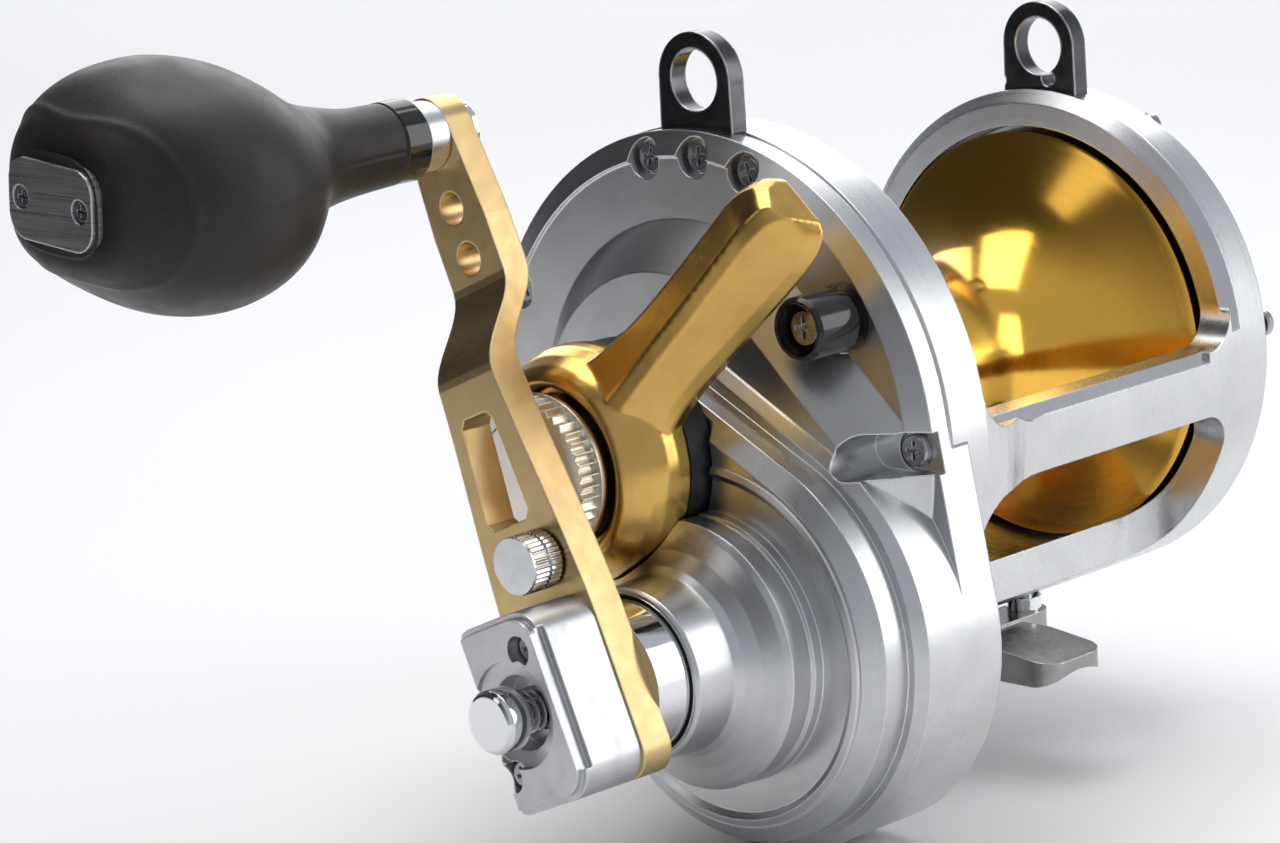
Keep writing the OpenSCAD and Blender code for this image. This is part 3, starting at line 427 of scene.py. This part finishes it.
def loft(rings, name):
    """Skins closed rings of equal length and caps both ends."""
    model = bmesh.new()
    rows = [[model.verts.new(p) for p in ring] for ring in rings]
    count = len(rings[0])
    for a, b in zip(rows, rows[1:]):
        for i in range(count):
            j = (i + 1) % count
            model.faces.new((a[i], a[j], b[j], b[i]))
    model.faces.new(list(reversed(rows[0])))
    model.faces.new(rows[-1])
    bmesh.ops.recalc_face_normals(model, faces=model.faces)
    mesh = bpy.data.meshes.new(name)
    model.to_mesh(mesh)
    model.free()
    return mesh


def revolve(profile, axis, name, count=160):
    """A closed (radius, x) outline turned about the X-parallel axis."""
    rings = []
    for i in range(count):
        a = 2 * math.pi * i / count
        rings.append([Vector((x, axis.y + r * math.cos(a), axis.z + r * math.sin(a))) for r, x in profile])
    model = bmesh.new()
    rows = [[model.verts.new(p) for p in ring] for ring in rings]
    for i in range(count):
        a, b = rows[i], rows[(i + 1) % count]
        for k in range(len(profile)):
            n = (k + 1) % len(profile)
            model.faces.new((a[k], a[n], b[n], b[k]))
    bmesh.ops.recalc_face_normals(model, faces=model.faces)
    mesh = bpy.data.meshes.new(name)
    model.to_mesh(mesh)
    model.free()
    return mesh


def catmull(values, t):
    """Smooth interpolation through a list, t from 0 to len - 1."""
    k = min(int(t), len(values) - 2)
    f = t - k
    at = [values[max(0, min(len(values) - 1, k + i))] for i in (-1, 0, 1, 2)]
    return 0.5 * (
        2 * at[1] + (at[2] - at[0]) * f + (2 * at[0] - 5 * at[1] + 4 * at[2] - at[3]) * f * f
        + (3 * at[1] - at[0] - 3 * at[2] + at[3]) * f ** 3
    )


# ---------------------------------------------------------------- grip


GRIP_TILT = math.radians(-5.2)
# In millimetres from the grip's neck: the seam's middle and swing, the start of the squared end,
# and the end of the parting line
SEAM_MIDDLE = 50.4
SEAM_SWING = 2.9
SQUARE_FROM = 40
PARTING_END = 47


def grip_profile():
    """Sections of the CAD grip from its own mesh: x, half width, height above and depth below the axle."""
    axle = centre("knob_ring")
    turn = Matrix.Rotation(-GRIP_TILT, 3, "X")
    rows = {}
    for vertex in NODES["grip_knob"].data.vertices:
        local = turn @ Vector((0, vertex.co.y - axle.y, vertex.co.z - axle.z))
        if local.length > 5.2 * MM:
            rows.setdefault(round(vertex.co.x, 4), []).append(local)
    profile = []
    for x in sorted(rows):
        wide = max(abs(p.y) for p in rows[x])
        if len(rows[x]) >= 20 and wide > 5.5 * MM:
            profile.append((x, wide, max(p.z for p in rows[x]), -min(p.z for p in rows[x])))
    return axle, profile


def grip_mesh():
    """Egg-shaped grip that squares off towards its end plate, with its raised seam and parting line."""
    axle, profile = grip_profile()
    turn = Matrix.Rotation(GRIP_TILT, 3, "X")
    start, end = profile[0][0], profile[-1][0]
    columns = list(zip(*profile))
    steps, around = 150, 160
    rings = []
    for k in range(steps + 1):
        t = k / steps * (len(profile) - 1)
        x, wide, up, down = (catmull(column, t) for column in columns)
        s = (x - start) / MM
        square = 2 + 1.1 * max(0.0, min(1.0, (s - SQUARE_FROM) / 16)) ** 1.5
        ring = []
        for i in range(around):
            a = 2 * math.pi * i / around
            c, d = math.cos(a), math.sin(a)
            grow = (abs(c) ** square + abs(d) ** square) ** (-1 / square)
            seam = SEAM_MIDDLE - SEAM_SWING * math.cos(2 * a)
            raised = 0.28 * MM * math.exp(-((s - seam) / 0.55) ** 2)
            from_side = a if a < math.pi else a - 2 * math.pi
            parting = 0.1 * MM * math.exp(-(from_side / 0.035) ** 2) if s < PARTING_END else 0
            reach = 1 + (raised - parting) / max(wide, 1e-4)
            local = turn @ Vector((0, wide * c * grow * reach, (up if d > 0 else down) * d * grow * reach))
            ring.append(Vector((x, axle.y + local.y, axle.z + local.z)))
        rings.append(ring)
    middle = Vector((end, axle.y, axle.z))
    rings.append([middle + (p - middle) * 0.94 for p in rings[-1]])
    return loft(rings, "grip_skin")


# ---------------------------------------------------------------- drag lever


LEVER_LEAN = math.radians(42)
# Radii in millimetres of the hub's bores round the cam and the preset knob,
# and of the hollow round the cover's neck
CAM_BORE = 6.7
KNOB_BORE = 11.9
NECK_BORE = 16.3
CUTTER_CORE = 0.2 * MM


def lever_section(s, back, ridge, front, rear, top, mid, low):
    """Eight (p, h) corners at distance s along the lever, in mm: p towards the rod tip, h above the foot."""
    return s, [
        (back + 0.6, low), (back, rear - 2.6), (back + 1.0, rear), (ridge - 0.5, top),
        (ridge + 1.9, top - 0.7), (front - 0.9, mid), (front, mid - 2.2), (front - 0.9, low),
    ]


def lever_sections():
    """The lever from hub to tip: it narrows past the hub, drops towards the cover and swells again."""
    return [
        lever_section(5, -9.4, 1.2, 9.6, 8.6, 10.6, 7.2, 0.2),
        lever_section(12, -8.2, 1.0, 8.8, 8.0, 10.2, 6.2, 0.1),
        lever_section(18, -7.0, 0.6, 7.0, 6.8, 8.9, 4.4, -1.6),
        lever_section(24, -6.6, 0.2, 6.4, 5.0, 7.4, 2.2, -4.0),
        lever_section(32, -6.7, 0.0, 6.5, 3.0, 5.7, -0.2, -5.4),
        lever_section(41, -7.0, -0.3, 7.0, 1.2, 4.2, -1.8, -6.4),
        lever_section(46.6, -6.9, -0.4, 7.0, 0.4, 3.3, -2.6, -6.5),
        lever_section(50, -5.8, -0.2, 6.0, -0.4, 2.2, -3.2, -6.2),
        lever_section(51.5, -4.2, 0.4, 4.4, -1.2, 0.9, -3.6, -5.6),
    ]


def cutter(radius, start, end, name):
    """Plug about the spool axis with a hair-thin core left open; the radius is in millimetres."""
    outline = [(CUTTER_CORE, start), (radius * MM, start), (radius * MM, end), (CUTTER_CORE, end)]
    return revolve(outline, SPOOL_AXIS, name)


def drag_lever_mesh():
    """Hub and sculpted arm, fused and softened as one forging."""
    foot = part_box("lever_liner")[1].x
    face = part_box("drag_lever")[1].x
    lean = Matrix.Rotation(-LEVER_LEAN, 3, "X")
    sections = lever_sections()
    rings = []
    for step in range(8 * (len(sections) - 1) + 1):
        t = step / 8
        s = catmull([row[0] for row in sections], t)
        ring = []
        for corner in range(8):
            p = catmull([row[1][corner][0] for row in sections], t)
            h = catmull([row[1][corner][1] for row in sections], t)
            local = lean @ Vector((0, p * MM, s * MM))
            ring.append(Vector((foot + h * MM, SPOOL_AXIS.y + local.y, SPOOL_AXIS.z + local.z)))
        rings.append(ring)
    arm = loft(rings, "lever_arm")
    height = (face - foot) / MM
    hub_profile = [(CAM_BORE, 0), (15.9, 0), (16.6, 0.7), (16.9, 3.0), (16.7, 5.2), (15.9, 7.6), (14.7, 9.6),
                   (13.6, height - 0.4), (12.7, height), (KNOB_BORE, height - 0.5), (KNOB_BORE, 6),
                   (CAM_BORE, 6)]
    hub = revolve([(r * MM, foot + x * MM) for r, x in hub_profile], SPOOL_AXIS, "lever_hub")
    # known fault: some material stays in the bore round the spool shaft after these cuts
    bore = cutter(KNOB_BORE, foot + 6.2 * MM, face + 3 * MM, "bore_tool")
    neck = cutter(NECK_BORE, foot - 12 * MM, foot, "neck_tool")
    cam_bore = cutter(CAM_BORE, foot - 2 * MM, face, "cam_tool")
    return carve(arm, [hub], [bore, neck, cam_bore], voxel=0.28 * MM, smoothing=3)


def carve(base, added, removed, voxel, smoothing):
    """Joins and cuts meshes, then remeshes the result finely and relaxes its edges."""
    body = bpy.data.objects.new("carving", base)
    bpy.context.scene.collection.objects.link(body)
    helpers = []
    for operation, meshes in (("UNION", added), ("DIFFERENCE", removed)):
        for mesh in meshes:
            helper = bpy.data.objects.new("carving_tool", mesh)
            bpy.context.scene.collection.objects.link(helper)
            helpers.append(helper)
            cut = body.modifiers.new("cut", "BOOLEAN")
            cut.operation = operation
            cut.object = helper
            cut.solver = "EXACT"
    remesh = body.modifiers.new("remesh", "REMESH")
    remesh.mode = "VOXEL"
    remesh.voxel_size = voxel
    remesh.use_smooth_shade = True
    smooth = body.modifiers.new("relax", "SMOOTH")
    smooth.factor = 0.5
    smooth.iterations = smoothing
    bpy.context.view_layer.update()
    evaluated = body.evaluated_get(bpy.context.evaluated_depsgraph_get())
    mesh = bpy.data.meshes.new_from_object(evaluated)
    for helper in helpers + [body]:
        bpy.data.objects.remove(helper)
    return mesh


# ---------------------------------------------------------------- spool


SPOOL_WAIST = 12.6


def spool_mesh():
    """The spool turned as one smooth flare between its rims, with the CAD solid's seats and pockets."""
    low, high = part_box("spool")
    x_mid, out = (low.x + high.x) / 2 / MM, (high.x - low.x) / 2 / MM
    rim, waist = (high.z - low.z) / 2 / MM, SPOOL_WAIST
    half, steps = out - 2.6, 48
    flare = [(waist + 0.4 + (rim - 1.6 - waist) * (k / steps) ** 2.6, 7 + (half - 8.6) * k / steps)
             for k in range(steps + 1)]
    profile = [(rim - 0.4, -out), (rim, 0.4 - out), (rim, 0.9 - half), (rim - 0.5, 1.3 - half)]
    profile += [(r, -x) for r, x in reversed(flare)] + flare
    profile += [(rim - 0.5, half - 1.3), (rim, half - 0.9), (rim, out - 0.4), (rim - 0.4, out),
                (28, out), (28, out - 3.4), (11, out - 3.4), (11, out - 6.4), (6.5, out - 6.4),
                (6.5, out - 9.4), (3, out - 9.4), (3, 8.4 - out), (6.5, 8.4 - out), (6.5, 5 - out),
                (12, 5 - out), (21, 3.5 - out), (27, 1 - out), (27, -out)]
    return revolve([(r * MM, (x_mid + x) * MM) for r, x in profile], SPOOL_AXIS, "spool_turning", count=240)


# ---------------------------------------------------------------- assembly


def paint_nodes(materials):
    """Gives each CAD node the material of its slot, with a few pieces picked out."""
    lug_metal = black_chrome()
    special = {"side_cover": cover_silver(), "left_lug": lug_metal, "right_lug": lug_metal}
    for name, node in NODES.items():
        slot = node.data.materials[0].name.split(".")[0]
        node.data.materials[0] = special.get(name) or materials[slot]


def soft_pieces(materials):
    """Pieces whose finished form is smoother than the CAD solid that stands for it."""
    new_object("grip_skin", grip_mesh(), "grip", "grip_rubber", materials["grip_rubber"], "grip_knob")
    gold = materials["bright_gold"]
    spool = new_object("spool_turning", spool_mesh(), "spool", "bright_gold", gold, "spool")
    spool.data.set_sharp_from_angle(angle=math.radians(24))
    new_object("drag_lever_forging", drag_lever_mesh(), "drag_lever", "satin_gold", materials["satin_gold"],
               "drag_lever")


# ---------------------------------------------------------------- camera, light and floor


def look(direction, up):
    """Rotation whose -Z axis is the viewing direction."""
    back = -Vector(direction).normalized()
    side = Vector(up).cross(back).normalized()
    return Matrix((side, back.cross(side), back)).transposed()


def add_camera():
    """Long lens from the handle side, slightly above, as in the photograph."""
    data = bpy.data.cameras.new("camera")
    data.lens = 119.5
    data.sensor_width = 36
    data.clip_start = 0.02
    camera = bpy.data.objects.new("camera", data)
    facing = look((-0.6876, -0.6925, -0.2183), (-0.1965, -0.112, 0.9741))
    camera.matrix_world = Matrix.Translation((0.46958, 0.41620, 0.17642)) @ facing.to_4x4()
    bpy.context.scene.collection.objects.link(camera)
    bpy.context.scene.camera = camera
    return camera


def softbox(name, camera, right, up, back, size, radiance):
    """Rectangular light at a place given in the camera's directions from the reel, aimed at the reel."""
    side, lift, away = (Vector(column) for column in camera.matrix_world.to_3x3().transposed())
    place = MIDDLE + side * right + lift * up + away * back
    data = bpy.data.lights.new(name, "AREA")
    data.shape = "RECTANGLE"
    data.size, data.size_y = size
    data.energy = radiance * math.pi * size[0] * size[1]
    light = bpy.data.objects.new(name, data)
    light.matrix_world = Matrix.Translation(place) @ look(MIDDLE - place, (0, 0, 1)).to_4x4()
    light.visible_camera = False
    bpy.context.scene.collection.objects.link(light)
    return light


def panel(name, corners, material):
    """A flat stage piece."""
    mesh = bpy.data.meshes.new(name)
    mesh.from_pydata([tuple(c) for c in corners], [], [tuple(range(len(corners)))])
    mesh.materials.append(material)
    piece = bpy.data.objects.new(name, mesh)
    bpy.context.scene.collection.objects.link(piece)
    return piece


def studio_world():
    """A room that looks plain and pale to the camera, with a dim side that metal can mirror."""
    world = bpy.data.worlds.new("studio")
    bpy.context.scene.world = world
    world.use_nodes = True
    tree = world.node_tree

    def add(kind, inputs, **settings):
        node = tree.nodes.new(kind)
        for name, value in settings.items():
            setattr(node, name, value)
        for socket, value in inputs.items():
            if isinstance(value, bpy.types.NodeSocket):
                tree.links.new(value, node.inputs[socket])
            else:
                node.inputs[socket].default_value = value
        return node

    direction = add("ShaderNodeTexCoord", {}).outputs["Generated"]
    toward_dim = add("ShaderNodeVectorMath", {0: direction, 1: (0.62, -0.72, 0.3)}, operation="DOT_PRODUCT")
    dim = add("ShaderNodeMapRange", {"Value": toward_dim.outputs["Value"], "From Min": 0.1, "From Max": 0.85})
    dim.interpolation_type = "SMOOTHSTEP"
    room = add("ShaderNodeMix", {0: dim.outputs["Result"]}, data_type="RGBA")
    room.inputs[6].default_value = (0.46, 0.48, 0.52, 1)
    room.inputs[7].default_value = (0.045, 0.045, 0.05, 1)
    seen = add("ShaderNodeLightPath", {}).outputs["Is Camera Ray"]
    shown = add("ShaderNodeMix", {0: seen, 6: room.outputs[2]}, data_type="RGBA")
    shown.inputs[7].default_value = (0.96, 0.96, 0.965, 1)
    tree.links.new(shown.outputs[2], tree.nodes["Background"].inputs["Color"])


def add_stage(camera):
    """Pale floor under the reel, a pale room round it and soft studio light."""
    low = size_before[0].z - 0.2 * MM
    # the floor stops short on the handle side, so that the arm's outer face mirrors the dim room
    left, right, front, back = -3.0, 0.32, 3.0, -3.0
    panel("floor", [(left, back, low), (right, back, low), (right, front, low), (left, front, low)],
          stage_white())
    studio_world()
    softbox("key_overhead", camera, -0.05, 0.8, 0.0, (0.75, 0.6), 3.0)
    softbox("strip_right", camera, 0.8, 0.2, 0.1, (0.3, 0.8), 2.6)
    softbox("fill_left", camera, -0.75, 0.35, 0.45, (0.25, 0.7), 1.0)
    softbox("floor_wash", camera, 0.1, 1.1, -1.3, (1.6, 1.2), 2.0)
    bpy.context.scene.view_settings.view_transform = "Standard"


def main():
    materials = finishes()
    paint_nodes(materials)
    soft_pieces(materials)
    camera = add_camera()
    add_stage(camera)


main()
